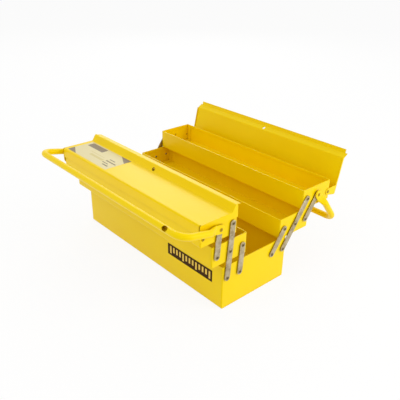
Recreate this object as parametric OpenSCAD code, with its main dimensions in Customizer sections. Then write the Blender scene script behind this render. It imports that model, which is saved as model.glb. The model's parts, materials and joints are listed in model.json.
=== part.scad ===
// Five-tray cantilever tool box in pressed and bent steel sheet.
// X runs along the box, +Y points at the rear stack, Z is up.
// The origin is the centre of the base's underside.

/* [Box] */
// Length of the base and of every tray
box_length = 522; // [420:1:620]
// Width of the base over its long walls
box_width = 200; // [180:1:260]
// Height of the base
base_height = 106; // [95:1:140]
// Height of one tray
tray_height = 49; // [42:1:58]
// Space between the front and rear trays when both are shut
centre_gap = 1.6; // [1:0.1:4]
// Height left free between a tray and what it rests on
rest_gap = 0.3; // [0.2:0.1:1]

/* [Sheet] */
// Thickness of the steel sheet
sheet = 1; // [0.7:0.1:1.2]
// Outside radius of the bends
bend_radius = 3; // [2:0.5:5]
// Depth of the folded hem along each rim
hem_depth = 7; // [4:0.5:10]
// Length of an end panel's flange inside the trough
lap_length = 12; // [8:1:20]

/* [Linkage] */
// Distance between neighbouring pivots of a link
link_pitch = 64; // [58:0.5:68]
// Distance between the long and the short links
link_spacing = 37; // [32:0.5:40]
// Width of a link
link_width = 14; // [12:0.5:18]
// Thickness of a link
link_thickness = 2; // [1.5:0.1:2.5]
// Lean of the links from upright with the trays fully in or out
fold_angle = 35.5; // [30:0.5:38]
// Inset of the base's outer pivots from the long wall
pivot_inset = 11.5; // [11:0.5:16]
// Depth of the base's pivots below its rim
pivot_drop = 28; // [22:0.5:34]
// How far the front links have swung out from shut, in degrees
front_swing = 30.7; // [0:0.1:60]
// How far the rear links have swung out from shut, in degrees
rear_swing = 71; // [0:0.1:71]

/* [Rivets] */
// Radius of a rivet's shank
rivet_radius = 2.5; // [2:0.1:3]
// Radius of a rivet's head
head_radius = 4.5; // [4:0.1:6]
// Radius of a rivet's formed tail, inside the panel
tail_radius = 3.5; // [3.2:0.1:4]
// Height of a rivet's domed head
head_height = 1.3; // [0.8:0.1:1.4]
// Radius of the spacer washer behind each link
washer_radius = 5.5; // [5:0.1:7]
// Thickness of the spacer washer behind each link
washer_thickness = 1.4; // [1.4:0.1:2.5]
// Radial clearance between a shank and its hole
hole_clearance = 0.05; // [0.02:0.01:0.1]
// Free space between neighbouring layers at a pivot
layer_gap = 0.2; // [0.1:0.05:0.4]

/* [Lids] */
// Space between a lid and the end panels that it covers
lid_gap = 0.3; // [0.2:0.1:1]
// Space between a lid's long flange and the tray's outer wall
flange_gap = 1.5; // [0.5:0.1:2]
// Depth of a lid's long outer flange
lid_flange = 23; // [18:0.5:23]
// Inside radius of the lids' long bends
fold_radius = 3; // [1.5:0.5:3]
// Width of the open corner between the long flange and the ear
corner_slit = 2; // [1:0.5:3]
// Depth of the front lid's end flanges
front_end_flange = 15; // [10:0.5:15]
// Depth of the rear lid's end flanges
rear_end_flange = 4; // [2:0.5:5]
// Height of the front lid's ridge
front_ridge = 15; // [14.5:0.5:18]
// Height of the rear lid's ridge, which passes under the front one
rear_ridge = 10; // [8:0.5:10]
// Distance from the tray's inner wall out to the foot of the front ridge
front_foot = 15.5; // [15.5:0.5:20]
// Distance from the tray's inner wall out to the foot of the rear ridge
rear_foot = 11; // [10:0.5:12]
// Width that a ridge's sloping face takes up
ridge_slope = 9.5; // [8:0.5:9.5]
// Reach of the front ridge's strip past the tray's inner wall
front_strip_reach = 10; // [6:0.5:10]
// Reach of the rear ridge's strip, which lies under the front one
rear_strip_reach = 9; // [3:0.5:9]
// Downward tilt of the front ridge's strip, in degrees
strip_tilt = 12; // [0:1:12]
// Setback of the front strip from the lid's ends
front_setback = 2.5; // [2:0.5:6]
// Setback of the rear strip from the lid's ends
rear_setback = 6; // [2:0.5:10]
// Radius of the padlock hole in each ridge
padlock_radius = 3.3; // [2.5:0.1:3.3]
// Height of that hole above the lid's plate
padlock_level = 4.6; // [4.2:0.1:5]
// Inset of the hinge rivet from the tray's outer wall
hinge_inset = 6; // [6:0.5:9]
// Depth of the hinge rivet below the tray's rim
hinge_drop = 30; // [28:0.5:34]
// Radius of the ear around the hinge rivet
ear_radius = 8; // [7:0.5:9]
// Width of the ear where it leaves the end flange
ear_width = 23; // [18:0.5:30]
// Angle to which the rear lid is thrown open
rear_lid_angle = 103; // [0:1:103]
// Angle to which the front lid is thrown open
front_lid_angle = 0; // [0:1:103]

/* [Handles] */
// Distance from a handle's pivot to the centre of its grip bar
handle_reach = 108; // [104:1:120]
// Diameter of the handle's tube
tube_diameter = 15; // [12:0.5:16]
// Wall of the handle's tube
tube_wall = 1.2; // [0.8:0.1:2]
// Radius of the handle's corner bends, to the tube's centre
corner_radius = 26; // [22:1:45]
// Thickness of the flattened end of the tube
eye_thickness = 3; // [2:0.1:4]
// Radius of the flattened end around its rivet
eye_radius = 10; // [8:0.5:11]
// Length of the flattened end, from the pivot
eye_length = 14; // [12:1:20]
// Length over which the flat end swells to the round tube
swell_length = 20; // [12:1:30]
// Diameter of the hole drilled in the grip bar
grip_hole = 10.5; // [6:0.5:11]
// Distance from the bend to the hole in the grip bar
grip_hole_inset = 18; // [6:1:40]
// Tilt of that hole out of the handle's plane
grip_hole_tilt = 30; // [0:1:60]
// Angle of the front handle above level
front_handle_angle = 12.5; // [-50:0.5:60]
// Angle of the rear handle above level
rear_handle_angle = -52; // [-57:1:10]

/* [Labels] */
// Length of the label on the front lid
lid_label_length = 172; // [100:1:220]
// Width of the label on the front lid
lid_label_width = 74; // [50:1:74]
// Distance from the lid label to the left end of the box
lid_label_inset = 11; // [5:1:60]
// Length of the band on the base's front wall
base_label_length = 151; // [100:1:200]
// Height of the band on the base's front wall
base_label_height = 29; // [15:1:35]
// Distance from the base's band to the right end of the box
base_label_inset = 31; // [10:1:80]
// Height of the band's lower edge above the ground
base_label_level = 54; // [30:1:60]
// Thickness of both labels
label_thickness = 0.2; // [0.1:0.05:0.4]

/* [Hidden] */
$fn = 64;

yellow = "#f2cc12";
steel = "#b4a894";
zinc = "#c8c4ba";
cream = "#e6dcc0";
umber = "#33200c";

eps = 0.01;
least_radius = sheet / 5;
tray_width = (box_width - centre_gap) / 2;
hole_radius = rivet_radius + hole_clearance;
end_x = box_length / 2;

// Layers at a pivot, measured outwards from the end panel's face
link_layer = washer_thickness + layer_gap;
link_face = link_layer + link_thickness;
eye_layer = link_face + layer_gap;
eye_face = eye_layer + eye_thickness;
tube_layer = eye_layer + head_height + 2 * layer_gap;
tube_x = end_x + tube_layer + tube_diameter / 2;

// Pivots of the base and centres of the trays, each as [outwards, up]
base_pivot = [box_width / 2 - pivot_inset, base_height - pivot_drop];
lower_shut = [(centre_gap + tray_width) / 2, base_height + rest_gap];
upper_shut = lower_shut + [0, tray_height + rest_gap];

function lean(a) = [sin(a), cos(a)];
function lean_of(swing) = swing - fold_angle;
function lift(swing) = link_pitch * (lean(lean_of(swing)) - lean(-fold_angle));
function lower_place(swing) = lower_shut + lift(swing);
function upper_place(swing) = upper_shut + 2 * lift(swing);

// Pivots in each tray's own frame, whose origin is the centre of its floor
lower_mid = base_pivot + link_pitch * lean(-fold_angle) - lower_shut;
upper_top = base_pivot + 2 * link_pitch * lean(-fold_angle) - upper_shut;
apart = [link_spacing, 0];
base_pivots = [base_pivot, base_pivot - apart];
lower_pivots = [lower_mid - apart, lower_mid, lower_mid + apart];
upper_pivots = [upper_top];
handle_pivot = upper_top + apart;
hinge = [tray_width / 2 - hinge_inset, tray_height - hinge_drop];

// The lid's plate clears the rim's outer corner as it turns about the hinge
lid_rise = norm([hinge_inset, hinge_drop]) - hinge_drop + layer_gap;
lid_top = tray_height + lid_rise + sheet;
lid_outer = tray_width / 2 + flange_gap + sheet;
lid_inner = -tray_width / 2;
bend_steps = 6;
lid_end = end_x + lid_gap + sheet;

// ---- placing helpers ----

// The plane of the stack (outwards, up) becomes Y and Z, and the height becomes X
module along_x(length) {
    rotate([90, 0, 90]) linear_extrude(length, center = true) children();
}

// Lays a flat outline on the right end, from x to x + thickness past the end panel
module on_end(x, thickness) {
    translate([end_x + x, 0, 0]) rotate([90, 0, 90]) linear_extrude(thickness) children();
}

module at(place) {
    translate([0, place[0], place[1]]) children();
}

module both_ends() {
    children();
    mirror([1, 0, 0]) children();
}

module left() {
    mirror([1, 0, 0]) children();
}

module front() {
    mirror([0, 1, 0]) children();
}

// Turns what it holds outwards about a pivot, clockwise as seen from the right end
module turn_out(pivot, angle) {
    at(pivot) rotate([-angle, 0, 0]) at(-pivot) children();
}

// ---- sheet metal ----

module trough_outline(width, height, radius) {
    translate([-width / 2, radius]) square([width, height - radius]);
    translate([-width / 2 + radius, 0]) square([width - 2 * radius, height]);
    for (side = [-1, 1])
        translate([side * (width / 2 - radius), radius]) circle(radius);
}

module trough_section(width, height, inset) {
    difference() {
        translate([0, inset])
            trough_outline(width - 2 * inset, height - inset, bend_radius - inset);
        translate([0, inset + sheet])
            trough_outline(
                width - 2 * (inset + sheet), height, max(bend_radius - inset - sheet, least_radius));
    }
}

module trough(width, height) {
    along_x(box_length - 2 * bend_radius) trough_section(width, height, 0);
    along_x(box_length - 2 * (bend_radius + lap_length))
        for (side = [-1, 1])
            translate([side * (width / 2 - sheet) - sheet, height - hem_depth])
                square([2 * sheet, hem_depth]);
}

module corner_outline(length, width, radius) {
    square([length, width - 2 * radius], center = true);
    square([length - 2 * radius, width], center = true);
    for (x = [-1, 1], y = [-1, 1])
        translate([x * (length / 2 - radius), y * (width / 2 - radius)]) circle(radius);
}

module closed_pan(width, height, inset) {
    intersection() {
        translate([0, 0, inset])
            linear_extrude(height)
                corner_outline(box_length - 2 * inset, width - 2 * inset, bend_radius - inset);
        along_x(box_length)
            translate([0, inset]) trough_outline(width - 2 * inset, height - inset, bend_radius - inset);
    }
}

// Right-hand end panel, folded round its corners, with a flange inside the trough
module end_panel(width, height, pivots) {
    difference() {
        union() {
            intersection() {
                difference() {
                    closed_pan(width, height, 0);
                    closed_pan(width, height + sheet, sheet);
                }
                translate([end_x - bend_radius, -width, 0]) cube([bend_radius, 2 * width, height]);
            }
            on_end(-bend_radius - lap_length, bend_radius + lap_length - sheet / 2)
                trough_section(width, height, sheet);
            on_end(-2 * sheet, 1.5 * sheet)
                translate([-width / 2 + 1.5 * sheet, height - hem_depth])
                    square([width - 3 * sheet, hem_depth]);
        }
        on_end(-bend_radius, 2 * bend_radius)
            for (p = pivots) translate(p) circle(hole_radius);
    }
}

// ---- rivets and washers ----

module head_outline(radius, height) {
    ball = (radius * radius + height * height) / (2 * height);
    intersection() {
        translate([0, height - ball]) circle(ball, $fn = 128);
        square([radius, height]);
    }
}

// A rivet through the end panel, with its head seated past the given layer
module rivet(place, layer) {
    translate([end_x, place[0], place[1]]) rotate([0, 90, 0]) {
        translate([0, 0, -sheet - eps]) cylinder(h = sheet + layer + 2 * eps, r = rivet_radius);
        translate([0, 0, layer]) rotate_extrude() head_outline(head_radius, head_height);
        translate([0, 0, -sheet]) mirror([0, 0, 1])
            rotate_extrude() head_outline(tail_radius, head_height);
    }
}

module rivets(pivots, layer) {
    both_ends() for (p = pivots) rivet(p, layer);
}

module washers(pivots) {
    both_ends() on_end(0, washer_thickness)
        for (p = pivots) translate(p) difference() {
            circle(washer_radius);
            circle(hole_radius);
        }
}

// ---- links ----

// A flat link on the right end, leaning outwards from its foot
module link(foot, swing, pitches) {
    length = pitches * link_pitch;
    on_end(link_layer, link_thickness)
        translate(foot) rotate(-lean_of(swing)) difference() {
            union() {
                translate([-link_width / 2, 0]) square([link_width, length]);
                circle(link_width / 2);
                translate([0, length]) circle(link_width / 2);
            }
            for (i = [0 : pitches]) translate([0, i * link_pitch]) circle(hole_radius);
        }
}

module long_link(swing) {
    link(base_pivot, swing, 2);
}

module inner_link(swing) {
    link(base_pivot - apart, swing, 1);
}

module outer_link(swing) {
    link(base_pivot + apart + link_pitch * lean(lean_of(swing)), swing, 1);
}

// ---- lids ----

// A lid's sheet is bent along a path of corners, with its thickness on the left of the path
function left_of(v) = [-v[1], v[0]] / norm(v);

// Arc that rounds the corner b between a and c, on the path's own face or at a depth behind it
function bend(a, b, c, depth) =
    let(
        along = (b - a) / norm(b - a),
        turn = atan2(cross(b - a, c - b), (b - a) * (c - b)),
        side = sign(turn),
        radius = side > 0 ? fold_radius + sheet : fold_radius,
        start = b - along * radius * tan(abs(turn) / 2),
        centre = start + side * radius * left_of(along),
        first = atan2(along[1], along[0]) - side * 90
    )
    [for (i = [0 : bend_steps])
        centre + (radius - side * depth) * [cos(first + turn * i / bend_steps),
                                            sin(first + turn * i / bend_steps)]];

function face(path, depth) =
    let(last = len(path) - 1)
    concat(
        [path[0] + depth * left_of(path[1] - path[0])],
        [for (i = [1 : last - 1]) each bend(path[i - 1], path[i], path[i + 1], depth)],
        [path[last] + depth * left_of(path[last] - path[last - 1])]
    );

function reversed(list) = [for (i = [len(list) - 1 : -1 : 0]) list[i]];

// Corners of a lid's top face: long flange, plate, sloping face and strip
function lid_path(ridge, foot, reach, tilt) =
    let(crest = lid_inner + foot - ridge_slope, width = crest - lid_inner + reach)
    [
        [lid_outer, lid_top - lid_flange],
        [lid_outer, lid_top],
        [lid_inner + foot, lid_top],
        [crest, lid_top + ridge],
        [crest - width, lid_top + ridge - width * tan(tilt)]
    ];

// The sheet, with its strip cut back at both ends and its outer corners left open
module lid_sheet(path, setback) {
    difference() {
        along_x(2 * lid_end) polygon(concat(face(path, 0), reversed(face(path, sheet))));
        both_ends() {
            translate([lid_end - setback, lid_inner - box_width, lid_top])
                cube([2 * setback, box_width, 2 * front_ridge]);
            translate([lid_end - sheet - corner_slit, lid_outer - fold_radius - sheet, 0])
                cube([corner_slit, box_width, box_width]);
        }
    }
}

// End flange from a place on the plate to the long flange, with the ear around the hinge rivet
module lid_end_outline(path, from, depth) {
    ear_top = [lid_outer - ear_width, lid_top - depth];
    reach = ear_top - hinge;
    // where a line from the flange's corner touches the rounded nose
    touch = atan2(reach[1], reach[0]) + acos(ear_radius / norm(reach));
    nose = hinge + ear_radius * [cos(touch), sin(touch)];
    difference() {
        intersection() {
            polygon(concat([[lid_outer, 0]], face(path, 0), [[lid_inner - box_width, 0]]));
            union() {
                translate([from, lid_top - depth]) square([lid_outer - from, lid_top]);
                polygon([[lid_outer, ear_top[1]], [lid_outer, hinge[1]], hinge + [ear_radius, 0],
                         hinge, nose, ear_top]);
                translate(hinge) circle(ear_radius);
            }
        }
        translate(hinge) circle(hole_radius);
    }
}

module padlock_hole(path) {
    translate([0, path[3][0], lid_top + padlock_level]) rotate([-90, 0, 0])
        cylinder(h = ridge_slope, r = padlock_radius);
}

module lid(path, setback, from, depth) {
    difference() {
        union() {
            lid_sheet(path, setback);
            both_ends() on_end(lid_gap, sheet) lid_end_outline(path, from, depth);
        }
        padlock_hole(path);
    }
}

module front_lid_shape() {
    lid(lid_path(front_ridge, front_foot, front_strip_reach, strip_tilt),
        front_setback, lid_inner, front_end_flange);
}

module rear_lid_shape() {
    lid(lid_path(rear_ridge, rear_foot, rear_strip_reach, 0),
        rear_setback, lid_inner + rear_foot, rear_end_flange);
}

// ---- handles ----

// Half of the handle's centre line carries a round of the given radius, arm, bend and bar
module tube_half(radius, start) {
    straight = handle_reach - corner_radius;
    translate([tube_x, start, 0]) rotate([-90, 0, 0]) cylinder(h = straight - start, r = radius);
    translate([tube_x - corner_radius, straight, 0])
        rotate_extrude(angle = 90) translate([corner_radius, 0]) circle(radius);
    translate([-eps, handle_reach, 0]) rotate([0, 90, 0])
        cylinder(h = tube_x - corner_radius + eps, r = radius);
}

module eye() {
    translate([end_x + eye_layer, 0, 0]) rotate([90, 0, 90]) linear_extrude(eye_thickness) {
        circle(eye_radius);
        translate([0, -eye_radius]) square([eye_length, 2 * eye_radius]);
    }
}

module swell() {
    hull() {
        translate([end_x + eye_layer, eye_length - eps, -eye_radius])
            cube([eye_thickness, eps, 2 * eye_radius]);
        translate([tube_x, eye_length + swell_length, 0]) rotate([-90, 0, 0])
            cylinder(h = eps, r = tube_diameter / 2, $fn = 48);
    }
}

// Lies flat, pivots on the X axis and reaches towards +Y
module handle_flat() {
    round_start = eye_length + swell_length;
    difference() {
        both_ends() {
            tube_half(tube_diameter / 2, round_start);
            eye();
            swell();
        }
        both_ends() {
            tube_half(tube_diameter / 2 - tube_wall, round_start + tube_wall);
            translate([end_x, 0, 0]) rotate([0, 90, 0]) cylinder(h = 2 * eye_face, r = hole_radius);
        }
        translate([tube_x - corner_radius - grip_hole_inset, handle_reach, 0])
            rotate([grip_hole_tilt, 0, 0]) rotate([-90, 0, 0])
                cylinder(h = tube_diameter, r = grip_hole / 2);
    }
}

module handle(swing, angle) {
    at(upper_place(swing) + handle_pivot) rotate([angle, 0, 0]) handle_flat();
}

// ---- one stack of two trays, drawn as the rear one ----

module lower_trough(swing) {
    at(lower_place(swing)) trough(tray_width, tray_height);
}

module lower_end(swing) {
    at(lower_place(swing)) end_panel(tray_width, tray_height, lower_pivots);
}

module lower_rivets(swing) {
    at(lower_place(swing)) rivets(lower_pivots, eye_layer);
}

module lower_washers(swing) {
    at(lower_place(swing)) washers(lower_pivots);
}

module upper_trough(swing) {
    at(upper_place(swing)) trough(tray_width, tray_height);
}

module upper_end(swing) {
    at(upper_place(swing))
        end_panel(tray_width, tray_height, concat(upper_pivots, [handle_pivot, hinge]));
}

module upper_rivets(swing) {
    at(upper_place(swing)) rivets(upper_pivots, eye_layer);
}

module upper_washers(swing) {
    at(upper_place(swing)) washers(concat(upper_pivots, [handle_pivot]));
}

module handle_rivets(swing) {
    at(upper_place(swing)) rivets([handle_pivot], eye_face + layer_gap);
}

module hinge_rivets(swing) {
    at(upper_place(swing)) rivets([hinge], lid_gap + sheet + layer_gap);
}

// Holds a lid at its hinge, thrown open by an angle
module on_hinge(swing, angle) {
    at(upper_place(swing)) turn_out(hinge, angle) children();
}

// ---- labels ----

module lid_label() {
    middle = (lid_inner + front_foot + lid_outer - fold_radius) / 2;
    on_hinge(front_swing, front_lid_angle)
        translate([-end_x + lid_label_inset, middle - lid_label_width / 2, lid_top])
            cube([lid_label_length, lid_label_width, label_thickness]);
}

module base_band() {
    translate([
        end_x - base_label_inset - base_label_length,
        -box_width / 2 - label_thickness,
        base_label_level
    ])
        cube([base_label_length, label_thickness, base_label_height]);
}

// ---- nodes ----

module base_all_pivots(kind) {
    for (side = [0, 1]) mirror([0, side, 0]) {
        if (kind == "rivets") rivets(base_pivots, eye_layer);
        if (kind == "washers") washers(base_pivots);
    }
}

module base_trough() { color(yellow) trough(box_width, base_height); }
module base_end_right() {
    mirrored = [for (p = base_pivots) [-p[0], p[1]]];
    color(yellow) end_panel(box_width, base_height, concat(base_pivots, mirrored));
}
module base_end_left() { left() base_end_right(); }
module base_rivets() { color(zinc) base_all_pivots("rivets"); }
module base_washers() { color(zinc) base_all_pivots("washers"); }
module base_label() { color(umber) base_band(); }

module rear_lower_trough() { color(yellow) lower_trough(rear_swing); }
module rear_lower_end_right() { color(yellow) lower_end(rear_swing); }
module rear_lower_end_left() { left() rear_lower_end_right(); }
module rear_lower_rivets() { color(zinc) lower_rivets(rear_swing); }
module rear_lower_washers() { color(zinc) lower_washers(rear_swing); }
module rear_upper_trough() { color(yellow) upper_trough(rear_swing); }
module rear_upper_end_right() { color(yellow) upper_end(rear_swing); }
module rear_upper_end_left() { left() rear_upper_end_right(); }
module rear_upper_rivets() { color(zinc) upper_rivets(rear_swing); }
module rear_upper_washers() { color(zinc) upper_washers(rear_swing); }
module rear_handle_rivets() { color(zinc) handle_rivets(rear_swing); }
module rear_hinge_rivets() { color(zinc) hinge_rivets(rear_swing); }
module rear_lid() { color(yellow) on_hinge(rear_swing, rear_lid_angle) rear_lid_shape(); }
module rear_handle() { color(yellow) handle(rear_swing, rear_handle_angle); }
module rear_long_link_right() { color(steel) long_link(rear_swing); }
module rear_long_link_left() { left() rear_long_link_right(); }
module rear_inner_link_right() { color(steel) inner_link(rear_swing); }
module rear_inner_link_left() { left() rear_inner_link_right(); }
module rear_outer_link_right() { color(steel) outer_link(rear_swing); }
module rear_outer_link_left() { left() rear_outer_link_right(); }

module front_lower_trough() { color(yellow) front() lower_trough(front_swing); }
module front_lower_end_right() { color(yellow) front() lower_end(front_swing); }
module front_lower_end_left() { left() front_lower_end_right(); }
module front_lower_rivets() { color(zinc) front() lower_rivets(front_swing); }
module front_lower_washers() { color(zinc) front() lower_washers(front_swing); }
module front_upper_trough() { color(yellow) front() upper_trough(front_swing); }
module front_upper_end_right() { color(yellow) front() upper_end(front_swing); }
module front_upper_end_left() { left() front_upper_end_right(); }
module front_upper_rivets() { color(zinc) front() upper_rivets(front_swing); }
module front_upper_washers() { color(zinc) front() upper_washers(front_swing); }
module front_handle_rivets() { color(zinc) front() handle_rivets(front_swing); }
module front_hinge_rivets() { color(zinc) front() hinge_rivets(front_swing); }
module front_lid() { color(yellow) front() on_hinge(front_swing, front_lid_angle) front_lid_shape(); }
module front_lid_label() { color(cream) front() lid_label(); }
module front_handle() { color(yellow) front() handle(front_swing, front_handle_angle); }
module front_long_link_right() { color(steel) front() long_link(front_swing); }
module front_long_link_left() { left() front_long_link_right(); }
module front_inner_link_right() { color(steel) front() inner_link(front_swing); }
module front_inner_link_left() { left() front_inner_link_right(); }
module front_outer_link_right() { color(steel) front() outer_link(front_swing); }
module front_outer_link_left() { left() front_outer_link_right(); }

base_trough();
base_end_left();
base_end_right();
base_rivets();
base_washers();
base_label();
front_lower_trough();
front_lower_end_left();
front_lower_end_right();
front_lower_rivets();
front_lower_washers();
front_upper_trough();
front_upper_end_left();
front_upper_end_right();
front_upper_rivets();
front_upper_washers();
front_handle_rivets();
front_hinge_rivets();
front_lid();
front_lid_label();
front_handle();
front_long_link_left();
front_long_link_right();
front_inner_link_left();
front_inner_link_right();
front_outer_link_left();
front_outer_link_right();
rear_lower_trough();
rear_lower_end_left();
rear_lower_end_right();
rear_lower_rivets();
rear_lower_washers();
rear_upper_trough();
rear_upper_end_left();
rear_upper_end_right();
rear_upper_rivets();
rear_upper_washers();
rear_handle_rivets();
rear_hinge_rivets();
rear_lid();
rear_handle();
rear_long_link_left();
rear_long_link_right();
rear_inner_link_left();
rear_inner_link_right();
rear_outer_link_left();
rear_outer_link_right();
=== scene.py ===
import json
import math

import bmesh
import bpy
from mathutils import Matrix, Vector


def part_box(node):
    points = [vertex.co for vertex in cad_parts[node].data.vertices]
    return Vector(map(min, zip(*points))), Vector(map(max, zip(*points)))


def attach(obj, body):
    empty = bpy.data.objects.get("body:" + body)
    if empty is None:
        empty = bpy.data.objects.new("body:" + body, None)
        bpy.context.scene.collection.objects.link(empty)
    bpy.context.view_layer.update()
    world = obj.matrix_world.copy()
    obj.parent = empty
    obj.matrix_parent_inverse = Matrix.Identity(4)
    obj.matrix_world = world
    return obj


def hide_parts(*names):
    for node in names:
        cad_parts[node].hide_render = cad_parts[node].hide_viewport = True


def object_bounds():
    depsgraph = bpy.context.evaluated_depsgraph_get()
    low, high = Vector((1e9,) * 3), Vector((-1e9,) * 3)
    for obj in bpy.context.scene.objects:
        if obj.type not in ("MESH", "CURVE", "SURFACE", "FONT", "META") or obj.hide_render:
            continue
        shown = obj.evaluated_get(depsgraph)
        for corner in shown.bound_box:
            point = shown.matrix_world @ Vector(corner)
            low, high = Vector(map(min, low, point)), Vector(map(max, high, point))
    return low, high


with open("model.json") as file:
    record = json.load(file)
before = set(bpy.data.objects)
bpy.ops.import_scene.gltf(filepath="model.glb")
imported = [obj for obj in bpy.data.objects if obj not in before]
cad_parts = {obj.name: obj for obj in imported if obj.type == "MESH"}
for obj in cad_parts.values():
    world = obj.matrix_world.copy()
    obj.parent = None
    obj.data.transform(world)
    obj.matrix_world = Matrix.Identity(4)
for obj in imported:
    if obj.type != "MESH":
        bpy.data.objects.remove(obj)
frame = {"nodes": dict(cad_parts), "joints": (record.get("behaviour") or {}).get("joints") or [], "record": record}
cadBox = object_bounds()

mm = 0.001    # the sizes below are in millimetres, and Blender works in metres
print("frame loaded:", len(frame["nodes"]), "parts")

# a colour Mix node's own sockets, because its names find those for numbers first
under, over, mixed = 6, 7, 2
raysPerPoint = 4    # that look for edges and corners around each point of a surface


def toLinear(hexColour):
    channels = [int(hexColour[i:i + 2], 16) / 255 for i in (1, 3, 5)]
    return [c / 12.92 if c <= 0.04045 else ((c + 0.055) / 1.055) ** 2.4 for c in channels] + [1.0]


def addNode(tree, kind, settings=None, links=None):
    # settings are properties of the node and values of its free sockets
    node = tree.nodes.new(kind)
    for name, value in (settings or {}).items():
        if isinstance(name, str) and hasattr(node, name):
            setattr(node, name, value)
        else:
            node.inputs[name].default_value = value
    for name, socket in (links or {}).items():
        tree.links.new(socket, node.inputs[name])
    return node


def newMaterial(name):
    material = bpy.data.materials.new(name)
    material.use_nodes = True
    material.node_tree.nodes.clear()
    return material, material.node_tree


def perMetre(size):
    return 1 / (size * mm)    # a texture's scale from the size of one grain in millimetres


def addEdge(tree, look):
    # softened normal of an edge, and a mask that is 1 along the edge and 0 on the flat
    soft = addNode(tree, "ShaderNodeBevel", {"samples": raysPerPoint, "Radius": look["bend"] * mm})
    flat = addNode(tree, "ShaderNodeNewGeometry")
    match = addNode(tree, "ShaderNodeVectorMath", {"operation": "DOT_PRODUCT"},
                    {0: soft.outputs["Normal"], 1: flat.outputs["Normal"]})
    mask = addNode(tree, "ShaderNodeMapRange",
                   {"From Min": look["edgeFrom"], "From Max": look["edgeFull"]},
                   {"Value": match.outputs["Value"]})
    return soft.outputs["Normal"], mask.outputs["Result"]


def addCornerShade(tree, look):
    # mask of painted shade: 1 in corners, folds and holes and 0 on open faces
    openness = addNode(tree, "ShaderNodeAmbientOcclusion",
                       {"samples": raysPerPoint, "Distance": look["cornerShadeReach"] * mm})
    mask = addNode(tree, "ShaderNodeMapRange",
                   {"From Min": look["cornerShadeFrom"], "From Max": look["cornerShadeFull"]},
                   {"Value": openness.outputs["AO"]})
    return mask.outputs["Result"]


def addCrown(tree, look):
    # rivet heads point along the box, so the length of the normal along it is 1 on the crown
    facing = addNode(tree, "ShaderNodeSeparateXYZ", {},
                     {"Vector": addNode(tree, "ShaderNodeNewGeometry").outputs["Normal"]})
    level = addNode(tree, "ShaderNodeMath", {"operation": "ABSOLUTE"}, {0: facing.outputs["X"]})
    mask = addNode(tree, "ShaderNodeMapRange", {"From Min": look["flank"], "From Max": look["crown"]},
                   {"Value": level.outputs["Value"]})
    return mask.outputs["Result"]


def addLayers(tree, look, colour, layers):
    # each layer is a mask and the colour that it lays over those before it
    for mask, tint in layers:
        colour = addNode(tree, "ShaderNodeMix", {"data_type": "RGBA", over: toLinear(look[tint])},
                         {"Factor": mask, under: colour}).outputs[mixed]
    return colour


# Polyester powder baked on sheet steel: an even, saturated, glossy skin with a fine orange peel.
# Its edges get a painted highlight in a touch paler yellow, painted shade darkens its corners, and it picks up
# faint rubbing marks.
powderCoat = {
    # the edge colour is a painted highlight along the edges
    "colour": "#f9d902", "deep": "#f5d100", "edge": "#fbda1c", "sheen": "#ffe27a",
    "patch": 90,                            # size of the slow changes in film thickness, mm
    "peel": 1.6, "peelDepth": 0.02,         # wavelength and height of the orange peel, mm
    "peelBump": 0.5,                        # how strongly it shows
    "rub": 14,                              # length of a rubbing mark, mm, and its width is 1 mm
    "rubFrom": 0.50, "rubFull": 0.75,       # noise at which a mark starts and is full
    "bend": 1.1,                            # radius that the film rounds an edge to, mm
    "edgeFrom": 0.99, "edgeFull": 0.80,     # match of the rounded normal with the flat one
    "highlightBreaks": 3,                              # size of the breaks in the painted edge highlight, mm
    "cornerShade": "#c49500", "cornerShadeReach": 6,    # painted shade in corners, folds and holes, and how far out it reaches, mm
    "cornerShadeFrom": 0.62, "cornerShadeFull": 0.2,    # openness at which it starts and is full
    "holeShade": "#4c2600",                   # painted shade around the padlock hole
    "holeShadeFrom": 4.9, "holeShadeFull": 3.9,    # its radii, mm
    "roughness": 0.30, "rubbed": 0.42, "bent": 0.62, "ior": 1.5, "shine": 0.29,
}

# The same film over rivet heads that were set before coating: it stays yellow on the flank, and painted shade
# darkens it brown on the crown.
coatedHead = dict(powderCoat, crownShade="#97720f", flank=0.86, crown=0.97, peel=0.9)


def addHoleShade(tree, look, place):
    # painted shade around the padlock hole in the front lid, so that it looks as dark as a deeper hole
    mounts = frame["record"]["mounts"]
    hole = next(mount for mount in mounts if mount["name"] == "front_padlock_hole")
    away = addNode(tree, "ShaderNodeVectorMath", {"operation": "DISTANCE", 1: tuple(hole["pos_m"])},
                   {0: place})
    mask = addNode(tree, "ShaderNodeMapRange",
                   {"From Min": look["holeShadeFrom"] * mm, "From Max": look["holeShadeFull"] * mm},
                   {"Value": away.outputs["Value"]})
    return mask.outputs["Result"]


def addCoatColour(tree, look, place, edge):
    film = addNode(tree, "ShaderNodeTexNoise", {"Scale": perMetre(look["patch"]), "Detail": 3.0},
                   {"Vector": place})
    colour = addNode(tree, "ShaderNodeMix", {"data_type": "RGBA", under: toLinear(look["deep"]),
                     over: toLinear(look["colour"])}, {"Factor": film.outputs["Fac"]})
    broken = addNode(tree, "ShaderNodeTexNoise", {"Scale": perMetre(look["highlightBreaks"]), "Detail": 4.0},
                     {"Vector": place})
    # painted highlight along the edges, broken in places by the noise
    edgeHighlight = addNode(tree, "ShaderNodeMath", {"operation": "MULTIPLY", "use_clamp": True},
                   {0: edge, 1: broken.outputs["Fac"]})
    layers = [(edgeHighlight.outputs["Value"], "edge")]
    # painted shade in brown on the crown of a coated rivet head
    if "crownShade" in look:
        layers.append((addCrown(tree, look), "crownShade"))
    # painted shade around the padlock hole
    layers.append((addHoleShade(tree, look, place), "holeShade"))
    # painted shade darkens the coat in corners, folds and holes
    layers.append((addCornerShade(tree, look), "cornerShade"))
    return addLayers(tree, look, colour.outputs[mixed], layers)


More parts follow.
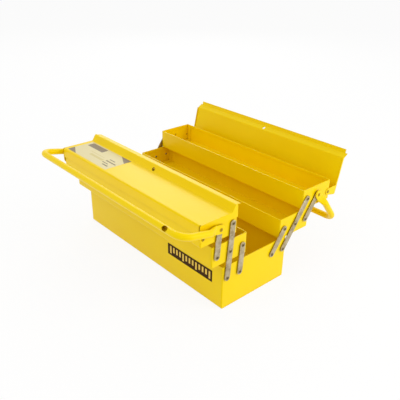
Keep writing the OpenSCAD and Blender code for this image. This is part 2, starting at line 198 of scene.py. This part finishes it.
def makePowderCoat(name, look):
    material, tree = newMaterial(name)
    place = addNode(tree, "ShaderNodeTexCoord").outputs["Object"]
    normal, edge = addEdge(tree, look)
    stretch = addNode(tree, "ShaderNodeMapping", {"Scale": (1.0, look["rub"], look["rub"])},
                      {"Vector": place})
    marks = addNode(tree, "ShaderNodeTexNoise", {"Scale": perMetre(look["rub"]), "Detail": 2.0},
                    {"Vector": stretch.outputs["Vector"]})
    rubbed = addNode(tree, "ShaderNodeMapRange",
                     {"From Min": look["rubFrom"], "From Max": look["rubFull"],
                      "To Min": look["roughness"], "To Max": look["rubbed"]},
                     {"Value": marks.outputs["Fac"]})
    roughness = addNode(tree, "ShaderNodeMix", {"data_type": "FLOAT", "B": look["bent"]},
                        {"Factor": edge, "A": rubbed.outputs["Result"]})
    peel = addNode(tree, "ShaderNodeTexNoise", {"Scale": perMetre(look["peel"]), "Detail": 1.0},
                   {"Vector": place})
    bump = addNode(tree, "ShaderNodeBump",
                   {"Strength": look["peelBump"], "Distance": look["peelDepth"] * mm},
                   {"Height": peel.outputs["Fac"], "Normal": normal})
    shader = addNode(tree, "ShaderNodeBsdfPrincipled",
                     {"IOR": look["ior"], "Specular IOR Level": look["shine"],
                      "Specular Tint": toLinear(look["sheen"])},
                     {"Base Color": addCoatColour(tree, look, place, edge),
                      "Roughness": roughness.outputs["Result"], "Normal": bump.outputs["Normal"]})
    addNode(tree, "ShaderNodeOutputMaterial", {}, {"Surface": shader.outputs["BSDF"]})
    return material


def addBareMetal(tree, look, place, normal, colour, roughness):
    # the metal's shader, over a fine grain that is drawn coarser than it is, so that it shows
    grain = addNode(tree, "ShaderNodeTexNoise", {"Scale": perMetre(look["grain"]), "Detail": 2.0},
                    {"Vector": place})
    bump = addNode(tree, "ShaderNodeBump",
                   {"Strength": look["grainBump"], "Distance": look["grainDepth"] * mm},
                   {"Height": grain.outputs["Fac"], "Normal": normal})
    shader = addNode(tree, "ShaderNodeBsdfPrincipled", {"Metallic": 1.0},
                     {"Base Color": colour, "Roughness": roughness.outputs["Result"],
                      "Normal": bump.outputs["Normal"]})
    addNode(tree, "ShaderNodeOutputMaterial", {}, {"Surface": shader.outputs["BSDF"]})


# Hot-dip galvanised strip steel, punched: a warm satin grey with a faint zinc spangle, cloudy where the zinc has
# dulled, with a painted highlight along its rolled-over cut edges.
galvanised = {
    "colour": "#cabd9e", "dark": "#998762", "edge": "#e9dfc6",
    "spangle": 5, "spangleShare": 0.35,     # size of a zinc crystal, mm, and its part in the tone
    "cloud": 18,                            # size of a dull patch, mm
    "dullFrom": 0.35, "brightFrom": 0.9,    # tone of the dullest and of the brightest zinc
    "grain": 0.5, "grainDepth": 0.008, "grainBump": 0.4,    # mm
    "bend": 0.5, "edgeFrom": 0.98, "edgeFull": 0.75,        # radius of a cut edge, mm
    "roughness": 0.34, "dull": 0.5,
}


def makeGalvanised():
    look = galvanised
    material, tree = newMaterial("galvanisedStripSteel")
    place = addNode(tree, "ShaderNodeTexCoord").outputs["Object"]
    normal, edge = addEdge(tree, look)
    cells = addNode(tree, "ShaderNodeTexVoronoi", {"Scale": perMetre(look["spangle"])},
                    {"Vector": place})
    cloud = addNode(tree, "ShaderNodeTexNoise", {"Scale": perMetre(look["cloud"]), "Detail": 5.0},
                    {"Vector": place})
    tone = addNode(tree, "ShaderNodeMath", {"operation": "MULTIPLY_ADD", 1: look["spangleShare"]},
                   {0: cells.outputs["Color"], 2: cloud.outputs["Fac"]})
    shade = addNode(tree, "ShaderNodeMapRange",
                    {"From Min": look["dullFrom"], "From Max": look["brightFrom"]},
                    {"Value": tone.outputs["Value"]})
    colour = addNode(tree, "ShaderNodeMix", {"data_type": "RGBA", under: toLinear(look["dark"]),
                     over: toLinear(look["colour"])}, {"Factor": shade.outputs["Result"]})
    roughness = addNode(tree, "ShaderNodeMapRange",
                        {"To Min": look["dull"], "To Max": look["roughness"]},
                        {"Value": shade.outputs["Result"]})
    # painted highlight along the cut edges
    bright = addLayers(tree, look, colour.outputs[mixed], [(edge, "edge")])
    addBareMetal(tree, look, place, normal, bright, roughness)
    return material


# Zinc-plated mild steel, cold headed: bright on the flank of each head, with a painted dark reflection on the
# crown.
zincPlated = {
    # dark is the painted dark reflection on the crown and the tone of the random patches
    "colour": "#d2c39c", "dark": "#5a4825",
    "flank": 0.86, "crown": 0.97,           # how squarely the surface faces out where each begins
    "cloud": 3, "cloudShare": 0.3,          # size of a patch, mm, and its part in the dark
    "grain": 0.7, "grainDepth": 0.012, "grainBump": 0.4, "bend": 0.4,    # mm
    "roughness": 0.26, "dull": 0.45,
}


def makeZincPlated():
    look = zincPlated
    material, tree = newMaterial("zincPlatedSteel")
    place = addNode(tree, "ShaderNodeTexCoord").outputs["Object"]
    soft = addNode(tree, "ShaderNodeBevel", {"samples": raysPerPoint, "Radius": look["bend"] * mm})
    cloud = addNode(tree, "ShaderNodeTexNoise", {"Scale": perMetre(look["cloud"]), "Detail": 4.0},
                    {"Vector": place})
    # painted dark reflection on the crown, with random dark patches from the cloud
    darkCrownAndPatches = addNode(tree, "ShaderNodeMath",
                   {"operation": "MULTIPLY_ADD", 1: look["cloudShare"], "use_clamp": True},
                   {0: cloud.outputs["Fac"], 2: addCrown(tree, look)})
    colour = addNode(tree, "ShaderNodeMix", {"data_type": "RGBA", under: toLinear(look["colour"]),
                     over: toLinear(look["dark"])}, {"Factor": darkCrownAndPatches.outputs["Value"]})
    roughness = addNode(tree, "ShaderNodeMapRange",
                        {"To Min": look["roughness"], "To Max": look["dull"]},
                        {"Value": cloud.outputs["Fac"]})
    addBareMetal(tree, look, place, soft.outputs["Normal"], colour.outputs[mixed], roughness)
    return material


def addLocal(tree, corner):
    # the place on the object, and the same counted from a label's own corner
    place = addNode(tree, "ShaderNodeTexCoord").outputs["Object"]
    moved = addNode(tree, "ShaderNodeVectorMath", {"operation": "SUBTRACT", 1: tuple(corner)},
                    {0: place})
    return place, addNode(tree, "ShaderNodeSeparateXYZ", {}, {"Vector": moved.outputs["Vector"]})


def addBlock(tree, across, along, block):
    # mask of a rectangle given in millimetres as (left, right, lower, upper)
    left, right, lower, upper = [v * mm for v in block]
    sides = []
    for socket, low, high in ((across, left, right), (along, lower, upper)):
        for operation, limit in (("GREATER_THAN", low), ("LESS_THAN", high)):
            side = addNode(tree, "ShaderNodeMath", {"operation": operation, 1: limit}, {0: socket})
            sides.append(side.outputs["Value"])
    return addJoined(tree, sides, "MULTIPLY")


def addJoined(tree, masks, operation="MAXIMUM"):
    # one mask of several: the greatest of them, or their product
    joined = masks[0]
    for mask in masks[1:]:
        joined = addNode(tree, "ShaderNodeMath", {"operation": operation},
                         {0: joined, 1: mask}).outputs["Value"]
    return joined


def addCorner(tree, across, along, tip, far):
    # mask of a right-angled triangle, from its square corner to its two far points
    reach = []
    for socket, start, end in ((across, tip[0], far[0]), (along, tip[1], far[1])):
        ramp = addNode(tree, "ShaderNodeMapRange",
                       {"clamp": False, "From Min": start * mm, "From Max": end * mm},
                       {"Value": socket})
        reach.append(ramp.outputs["Result"])
    total = addNode(tree, "ShaderNodeMath", {"operation": "ADD"}, {0: reach[0], 1: reach[1]})
    return addNode(tree, "ShaderNodeMath", {"operation": "LESS_THAN", 1: 1.0},
                   {0: total.outputs["Value"]}).outputs["Value"]


def addFilm(tree, look, place, printed):
    # a faint fibre, drawn coarser than it is so that it shows, runs through ink, gloss and height
    fibre = addNode(tree, "ShaderNodeTexNoise", {"Scale": perMetre(look["fibre"]), "Detail": 3.0},
                    {"Vector": place})
    shade = addNode(tree, "ShaderNodeMapRange",
                    {"To Min": look["fibreDark"], "To Max": look["fibreLight"]},
                    {"Value": fibre.outputs["Fac"]})
    colour = addNode(tree, "ShaderNodeHueSaturation", {},
                     {"Color": printed, "Value": shade.outputs["Result"]})
    roughness = addNode(tree, "ShaderNodeMapRange",
                        {"To Min": look["roughness"], "To Max": look["dull"]},
                        {"Value": fibre.outputs["Fac"]})
    bump = addNode(tree, "ShaderNodeBump",
                   {"Strength": look["fibreBump"], "Distance": look["fibreDepth"] * mm},
                   {"Height": fibre.outputs["Fac"]})
    shader = addNode(tree, "ShaderNodeBsdfPrincipled",
                     {"IOR": look["ior"], "Specular IOR Level": look["shine"]},
                     {"Base Color": colour.outputs["Color"], "Roughness": roughness.outputs["Result"],
                      "Normal": bump.outputs["Normal"]})
    addNode(tree, "ShaderNodeOutputMaterial", {}, {"Surface": shader.outputs["BSDF"]})


# Screen-printed vinyl film with a satin overlaminate: flat inks, a faint fibre in the ground,
# and a slight sheen that follows the sheet below. A plain contents label with two dark corners,
# a header bar and a few short strokes. Blocks are (left, right, lower, upper) from its corner, mm.
contentsLabel = {
    "ground": "#e2d5a0", "ink": "#85745b", "pale": "#d6c782", "stroke": "#83744f",
    "corners": [((0, 0), (38, 20)), ((172, 74), (132, 52))],    # square corner, far points
    "header": (10, 78, 51, 70), "headerLine": (15, 73, 59.5, 62.5),
    "fields": [(64, 122, 22, 30), (50, 112, 36, 38)],
    "strokes": [(127, 167, 30, 34), (129, 151, 40, 43), (138, 160, 12, 16), (126, 150, 20.5, 23.5)],
    "fibre": 1.2, "fibreDepth": 0.02, "fibreBump": 0.2,         # mm
    "fibreDark": 0.93, "fibreLight": 1.0,
    "roughness": 0.38, "dull": 0.48, "ior": 1.5, "shine": 0.4,
}


def makeContentsLabel(node):
    look = contentsLabel
    material, tree = newMaterial("printedVinylLabel")
    place, local = addLocal(tree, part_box(node)[0])
    across, along = local.outputs["X"], local.outputs["Y"]
    dark = [addCorner(tree, across, along, tip, far) for tip, far in look["corners"]]
    dark.append(addBlock(tree, across, along, look["header"]))
    strokes = [addBlock(tree, across, along, block) for block in look["strokes"]]
    strokes.append(addBlock(tree, across, along, look["headerLine"]))
    fields = [addBlock(tree, across, along, block) for block in look["fields"]]
    ground = addNode(tree, "ShaderNodeMix", {"data_type": "RGBA", under: toLinear(look["ground"]),
                     over: toLinear(look["pale"])}, {"Factor": addJoined(tree, fields)})
    printed = addLayers(tree, look, ground.outputs[mixed],
                        [(addJoined(tree, dark), "ink"), (addJoined(tree, strokes), "stroke")])
    addFilm(tree, look, place, printed)
    return material


# The same film in dark umber, with bare ruler ticks where the yellow of the paint shows through
tickBand = {
    "ground": "#3f2502", "tick": "#f2d060",
    "pitch": 11.0, "tickWidth": 5.5, "margin": 8,       # mm
    "tickTop": 24, "shortFrom": 10, "longFrom": 5,      # heights from the band's lower edge, mm
    "longEvery": 4,                                     # how many ticks from one long one to the next
    "fibre": 1.2, "fibreDepth": 0.02, "fibreBump": 0.2,
    "fibreDark": 0.9, "fibreLight": 1.05,
    "roughness": 0.5, "dull": 0.52, "ior": 1.5, "shine": 0.08,
}


def makeTickBand(node):
    look = tickBand
    material, tree = newMaterial("printedVinylBand")
    low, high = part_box(node)
    place, local = addLocal(tree, low)
    across, along = local.outputs["X"], local.outputs["Z"]
    length = (high.x - low.x) / mm
    ticks = []
    count = int((length - 2 * look["margin"]) // look["pitch"]) + 1
    for i in range(count):
        left = look["margin"] + i * look["pitch"]
        foot = look["longFrom"] if i % look["longEvery"] == 0 else look["shortFrom"]
        block = (left, left + look["tickWidth"], foot, look["tickTop"])
        ticks.append(addBlock(tree, across, along, block))
    printed = addNode(tree, "ShaderNodeMix", {"data_type": "RGBA", under: toLinear(look["ground"]),
                      over: toLinear(look["tick"])}, {"Factor": addJoined(tree, ticks)})
    addFilm(tree, look, place, printed.outputs[mixed])
    return material


paint = makePowderCoat("powderCoatedSteel", powderCoat)
coatedRivet = makePowderCoat("powderCoatedRivet", coatedHead)
finishes = {
    "paint": paint, "link_steel": makeGalvanised(), "rivet_steel": makeZincPlated(),
    "label": makeContentsLabel("front_lid_label"), "band": makeTickBand("base_label"),
}
coatedRivets = ("handle_rivets", "hinge_rivets")    # set before the box is coated
for part in frame["record"]["subparts"]:
    mesh = frame["nodes"][part["node"]].data
    mesh.materials.clear()
    coated = part["node"].endswith(coatedRivets)
    mesh.materials.append(coatedRivet if coated else finishes[part["material_slot"]])
print("materials assigned:", len(finishes) + 1)


# Steel tube, squashed flat at both ends for its rivets and bent round two corners. Sizes in mm,
# with the pivots on the X axis, the grip bar towards Y and the middle of the box at 0.
handle = {
    "reach": 108, "tube": 15, "wall": 1.2, "corner": 26,
    "eyeThickness": 3, "eyeRadius": 10,
    "eyeLength": 12, "swell": 26,           # from the rivet to the end of the flat, and on to the tube
    "eyeFace": 264.8,                       # inner face of the flat end
    "tubeLine": 274,                        # centre of the round arm
    "eyeTip": 0.6,                          # half height left at the very end of the eye
    "flatness": 7, "roundness": 2,          # power of the flat end's outline and of the tube's
    "flatFade": 0.6,                        # power by which the first gives way to the second
    "gripHole": 10.5, "gripHoleSlot": 4.5, "gripHoleInset": 18, "gripHoleTilt": 30,    # tilt in degrees
    "gripBore": (60, 8),                    # length that is hollow inwards and outwards of the hole
    "rivetHole": 5.1, "rivetDrill": (3, 8),    # how far the drill runs to each side of the face
    "sides": 40, "eyeSteps": 12, "swellSteps": 18, "cornerSteps": 24, "barSteps": 8,
    "sharpAngle": 38,                       # bend between faces that is still shaded smooth, degrees
    "angles": {"front": 12.5, "rear": -52},    # how far each rises above the level at rest, degrees
}


def ringOf(centre, right, halfWide, halfTall, power):
    # a ring around the tube, round with a power of 2 and squarer with a higher one
    ring = []
    for i in range(handle["sides"]):
        angle = 2 * math.pi * i / handle["sides"]
        c, s = math.cos(angle), math.sin(angle)
        wide = math.copysign(abs(c) ** (2 / power), c) * halfWide
        tall = math.copysign(abs(s) ** (2 / power), s) * halfTall
        ring.append(centre + right * wide + Vector((0, 0, 1)) * tall)
    return ring


def handleRings():
    # from the tip of the right eye to the middle of the grip bar
    h = handle
    outward, forward = Vector((1, 0, 0)), Vector((0, 1, 0))
    radius, halfFlat = h["tube"] / 2, h["eyeThickness"] / 2
    eyeLine = h["eyeFace"] + halfFlat
    rings = []
    for i in range(h["eyeSteps"] + 1):          # round end of the flat eye
        angle = math.pi / 2 * (1 - i / h["eyeSteps"])
        centre = Vector((eyeLine, -h["eyeRadius"] * math.sin(angle), 0))
        tall = max(h["eyeRadius"] * math.cos(angle), h["eyeTip"])
        rings.append(ringOf(centre, outward, halfFlat, tall, h["flatness"]))
    for i in range(h["swellSteps"] + 1):        # the flat swells to the round tube
        t = i / h["swellSteps"]
        ease = t * t * (3 - 2 * t)
        centre = Vector((eyeLine + (h["tubeLine"] - eyeLine) * ease,
                         h["eyeLength"] + h["swell"] * t, 0))
        wide = halfFlat + (radius - halfFlat) * ease
        tall = h["eyeRadius"] + (radius - h["eyeRadius"]) * ease
        power = h["flatness"] - (h["flatness"] - h["roundness"]) * ease ** h["flatFade"]
        rings.append(ringOf(centre, outward, wide, tall, power))
    bar, straight = h["tubeLine"] - h["corner"], h["reach"] - h["corner"]
    for i in range(h["cornerSteps"] + 1):       # corner bend
        angle = math.pi / 2 * i / h["cornerSteps"]
        side = Vector((math.cos(angle), math.sin(angle), 0))
        rings.append(ringOf(Vector((bar, straight, 0)) + side * h["corner"], side,
                            radius, radius, h["roundness"]))
    for i in range(1, h["barSteps"] + 1):       # half of the grip bar
        centre = Vector((bar * (1 - i / h["barSteps"]), h["reach"], 0))
        rings.append(ringOf(centre, forward, radius, radius, h["roundness"]))
    return rings


def toObject(name, mesh):
    # an object in the scene from a finished bmesh
    bmesh.ops.recalc_face_normals(mesh, faces=mesh.faces)
    data = bpy.data.meshes.new(name)
    mesh.to_mesh(data)
    mesh.free()
    made = bpy.data.objects.new(name, data)
    bpy.context.scene.collection.objects.link(made)
    return made


def addSkin(mesh, rings):
    # quads from ring to ring, and a face over each end
    for one, two in zip(rings, rings[1:]):
        for i in range(len(one)):
            k = (i + 1) % len(one)
            mesh.faces.new((one[i], one[k], two[k], two[i]))
    mesh.faces.new(list(reversed(rings[0])))
    mesh.faces.new(rings[-1])


def addRod(mesh, start, end, radius, slot=0, sides=48):
    # a round rod, or one lengthened sideways to a slot
    axis = (end - start).normalized()
    right = Vector((0, 1, 0)) if abs(axis.x) > 0.9 else Vector((1, 0, 0))
    up = axis.cross(right)
    ends = []
    for place in (start, end):
        ring = []
        for i in range(sides):
            angle = 2 * math.pi * (i + 0.5) / sides
            wide = radius * math.cos(angle) + math.copysign(slot / 2, math.cos(angle))
            ring.append(mesh.verts.new((place + right * wide + up * radius * math.sin(angle)) * mm))
        ends.append(ring)
    addSkin(mesh, ends)


def cutAway(target, name, rods):
    mesh = bmesh.new()
    for rod in rods:
        addRod(mesh, *rod)
    tool = toObject(name, mesh)
    cut = target.modifiers.new(name, "BOOLEAN")
    cut.operation = "DIFFERENCE"
    cut.solver = "EXACT"
    cut.object = tool
    bpy.context.view_layer.update()
    ready = target.evaluated_get(bpy.context.evaluated_depsgraph_get())
    finished = bpy.data.meshes.new_from_object(ready)
    target.modifiers.clear()
    target.data = finished
    bpy.data.objects.remove(tool)


def drillHandle(piece):
    # the grip bar is hollow behind its hole, and the eyes are drilled for the rivets
    h = handle
    outward = Vector((1, 0, 0))
    mouth = Vector((h["tubeLine"] - h["corner"] - h["gripHoleInset"], h["reach"], 0))
    inner, outer = h["gripBore"]
    cutAway(piece, "gripBore", [(mouth - outward * inner, mouth + outward * outer,
                                 h["tube"] / 2 - h["wall"])])
    tilt = math.radians(h["gripHoleTilt"])
    facing = Vector((0, math.cos(tilt), math.sin(tilt)))
    drilled = [(mouth, mouth + facing * h["tube"], h["gripHole"] / 2, h["gripHoleSlot"])]
    before, beyond = h["rivetDrill"]
    for side in (-outward, outward):
        face = side * h["eyeFace"]
        drilled.append((face - side * before, face + side * beyond, h["rivetHole"] / 2))
    cutAway(piece, "drillings", drilled)


def makeHandle(stack):
    h = handle
    mesh = bmesh.new()
    rings = handleRings()
    rings += [[Vector((-p.x, p.y, p.z)) for p in ring] for ring in reversed(rings[:-1])]
    addSkin(mesh, [[mesh.verts.new(p * mm) for p in ring] for ring in rings])
    piece = toObject(stack + "HandleTube", mesh)
    drillHandle(piece)
    for polygon in piece.data.polygons:
        polygon.use_smooth = True
    piece.data.set_sharp_from_angle(angle=math.radians(h["sharpAngle"]))
    # swung to its rest angle and set on its rivets, with the front one turned to face forward
    joint = next(j for j in frame["joints"] if j["child"] == stack + "_handle")
    turn = Matrix.Rotation(math.radians(h["angles"][stack]), 4, "X")
    if stack == "front":
        turn = Matrix.Scale(-1, 4, Vector((0, 1, 0))) @ turn
    piece.data.transform(Matrix.Translation(joint["pos_m"]) @ turn)
    if stack == "front":
        piece.data.flip_normals()
    piece.data.materials.clear()
    piece.data.materials.append(paint)
    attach(piece, stack + "_handle")
    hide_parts(stack + "_handle")
    return piece


for stack in ("front", "rear"):
    made = makeHandle(stack)
    print("handle modelled:", made.name, len(made.data.vertices), "points")


def addSeen(tree):
    # 1 where the eye, a reflection or a glass looks at the surface, and 0 where it only lights
    rays = addNode(tree, "ShaderNodeLightPath")
    seen = rays.outputs["Is Camera Ray"]
    for kind in ("Is Glossy Ray", "Is Transmission Ray"):
        seen = addNode(tree, "ShaderNodeMath", {"operation": "MAXIMUM"},
                       {0: seen, 1: rays.outputs[kind]}).outputs["Value"]
    return seen


# Matt painted board that glows white to the eye, so that only a soft shadow shows on it
stageLook = {
    "floor": "#fbfaf8", "floorSize": 30,    # m
    "shadow": 0.12,                         # share of the real shading that is kept
    "drop": 0.2,                            # how far the floor lies below the box, mm
}


def makeFloor():
    look = stageLook
    material, tree = newMaterial("paleFloor")
    share = addNode(tree, "ShaderNodeMath", {"operation": "MULTIPLY", 1: 1 - look["shadow"]},
                    {0: addSeen(tree)})
    matt = addNode(tree, "ShaderNodeBsdfDiffuse", {"Color": toLinear(look["floor"])})
    glow = addNode(tree, "ShaderNodeEmission", {"Strength": 1.0})
    surface = addNode(tree, "ShaderNodeMixShader", {},
                      {0: share.outputs["Value"], 1: matt.outputs["BSDF"], 2: glow.outputs["Emission"]})
    addNode(tree, "ShaderNodeOutputMaterial", {}, {"Surface": surface.outputs["Shader"]})
    mesh = bmesh.new()
    bmesh.ops.create_grid(mesh, x_segments=1, y_segments=1, size=look["floorSize"] / 2)
    floor = toObject("studioFloor", mesh)
    floor.data.materials.append(material)
    floor.location.z = cadBox[0].z - look["drop"] * mm


# strength of the backdrop where it is looked at, and where it only lights the box
worldLook = {"colour": "#ffffff", "seen": 1.0, "light": 0.72}


def makeWorld():
    look = worldLook
    world = bpy.data.worlds.new("studioWorld")
    bpy.context.scene.world = world
    world.use_nodes = True
    tree = world.node_tree
    tree.nodes.clear()
    level = addNode(tree, "ShaderNodeMapRange", {"To Min": look["light"], "To Max": look["seen"]},
                    {"Value": addSeen(tree)})
    back = addNode(tree, "ShaderNodeBackground", {"Color": toLinear(look["colour"])},
                   {"Strength": level.outputs["Result"]})
    addNode(tree, "ShaderNodeOutputWorld", {}, {"Surface": back.outputs["Background"]})


# places and sizes in metres
softBoxes = {
    "rightSoftBox": {"place": (2.0, 1.3, 1.0), "size": 1.6, "watts": 24},
    "frontSoftBox": {"place": (-0.3, -1.3, 2.2), "size": 1.7, "watts": 11.5},
    "backSoftBox": {"place": (-2.0, 1.8, 1.5), "size": 1.4, "watts": 12},
}
lightAim = (0, 0, 0.15)


def makeLights():
    for name, box in softBoxes.items():
        light = bpy.data.lights.new(name, "AREA")
        light.shape = "SQUARE"
        light.size = box["size"]
        light.energy = box["watts"]
        lamp = bpy.data.objects.new(name, light)
        lamp.location = box["place"]
        lamp.visible_camera = False
        lamp.rotation_mode = "QUATERNION"
        lamp.rotation_quaternion = (Vector(lightAim) - lamp.location).to_track_quat("-Z", "Y")
        bpy.context.scene.collection.objects.link(lamp)


# angles in degrees, lens and sensor in millimetres, place and clip distances in metres
cameraView = {
    "azimuth": 48.09, "elevation": 26.95, "roll": 0.86, "place": (0.9038, -0.7428, 0.7244),
    "lens": 47.55, "sensor": 36, "near": 0.05, "far": 60,
}


def makeCamera():
    view = cameraView
    data = bpy.data.cameras.new("mainCamera")
    data.lens = view["lens"]
    data.sensor_width = view["sensor"]
    data.clip_start = view["near"]
    data.clip_end = view["far"]
    camera = bpy.data.objects.new("mainCamera", data)
    around, height = math.radians(view["azimuth"]), math.radians(view["elevation"])
    back = Vector((math.sin(around) * math.cos(height), -math.cos(around) * math.cos(height),
                   math.sin(height)))
    facing = back.to_track_quat("Z", "Y").to_matrix().to_4x4()
    roll = Matrix.Rotation(math.radians(view["roll"]), 4, "Z")
    camera.matrix_world = Matrix.Translation(view["place"]) @ facing @ roll
    bpy.context.scene.collection.objects.link(camera)
    bpy.context.scene.camera = camera


makeFloor()
makeWorld()
makeLights()
makeCamera()
bpy.context.scene.view_settings.view_transform = "Standard"
print("floor, lights and camera ready")
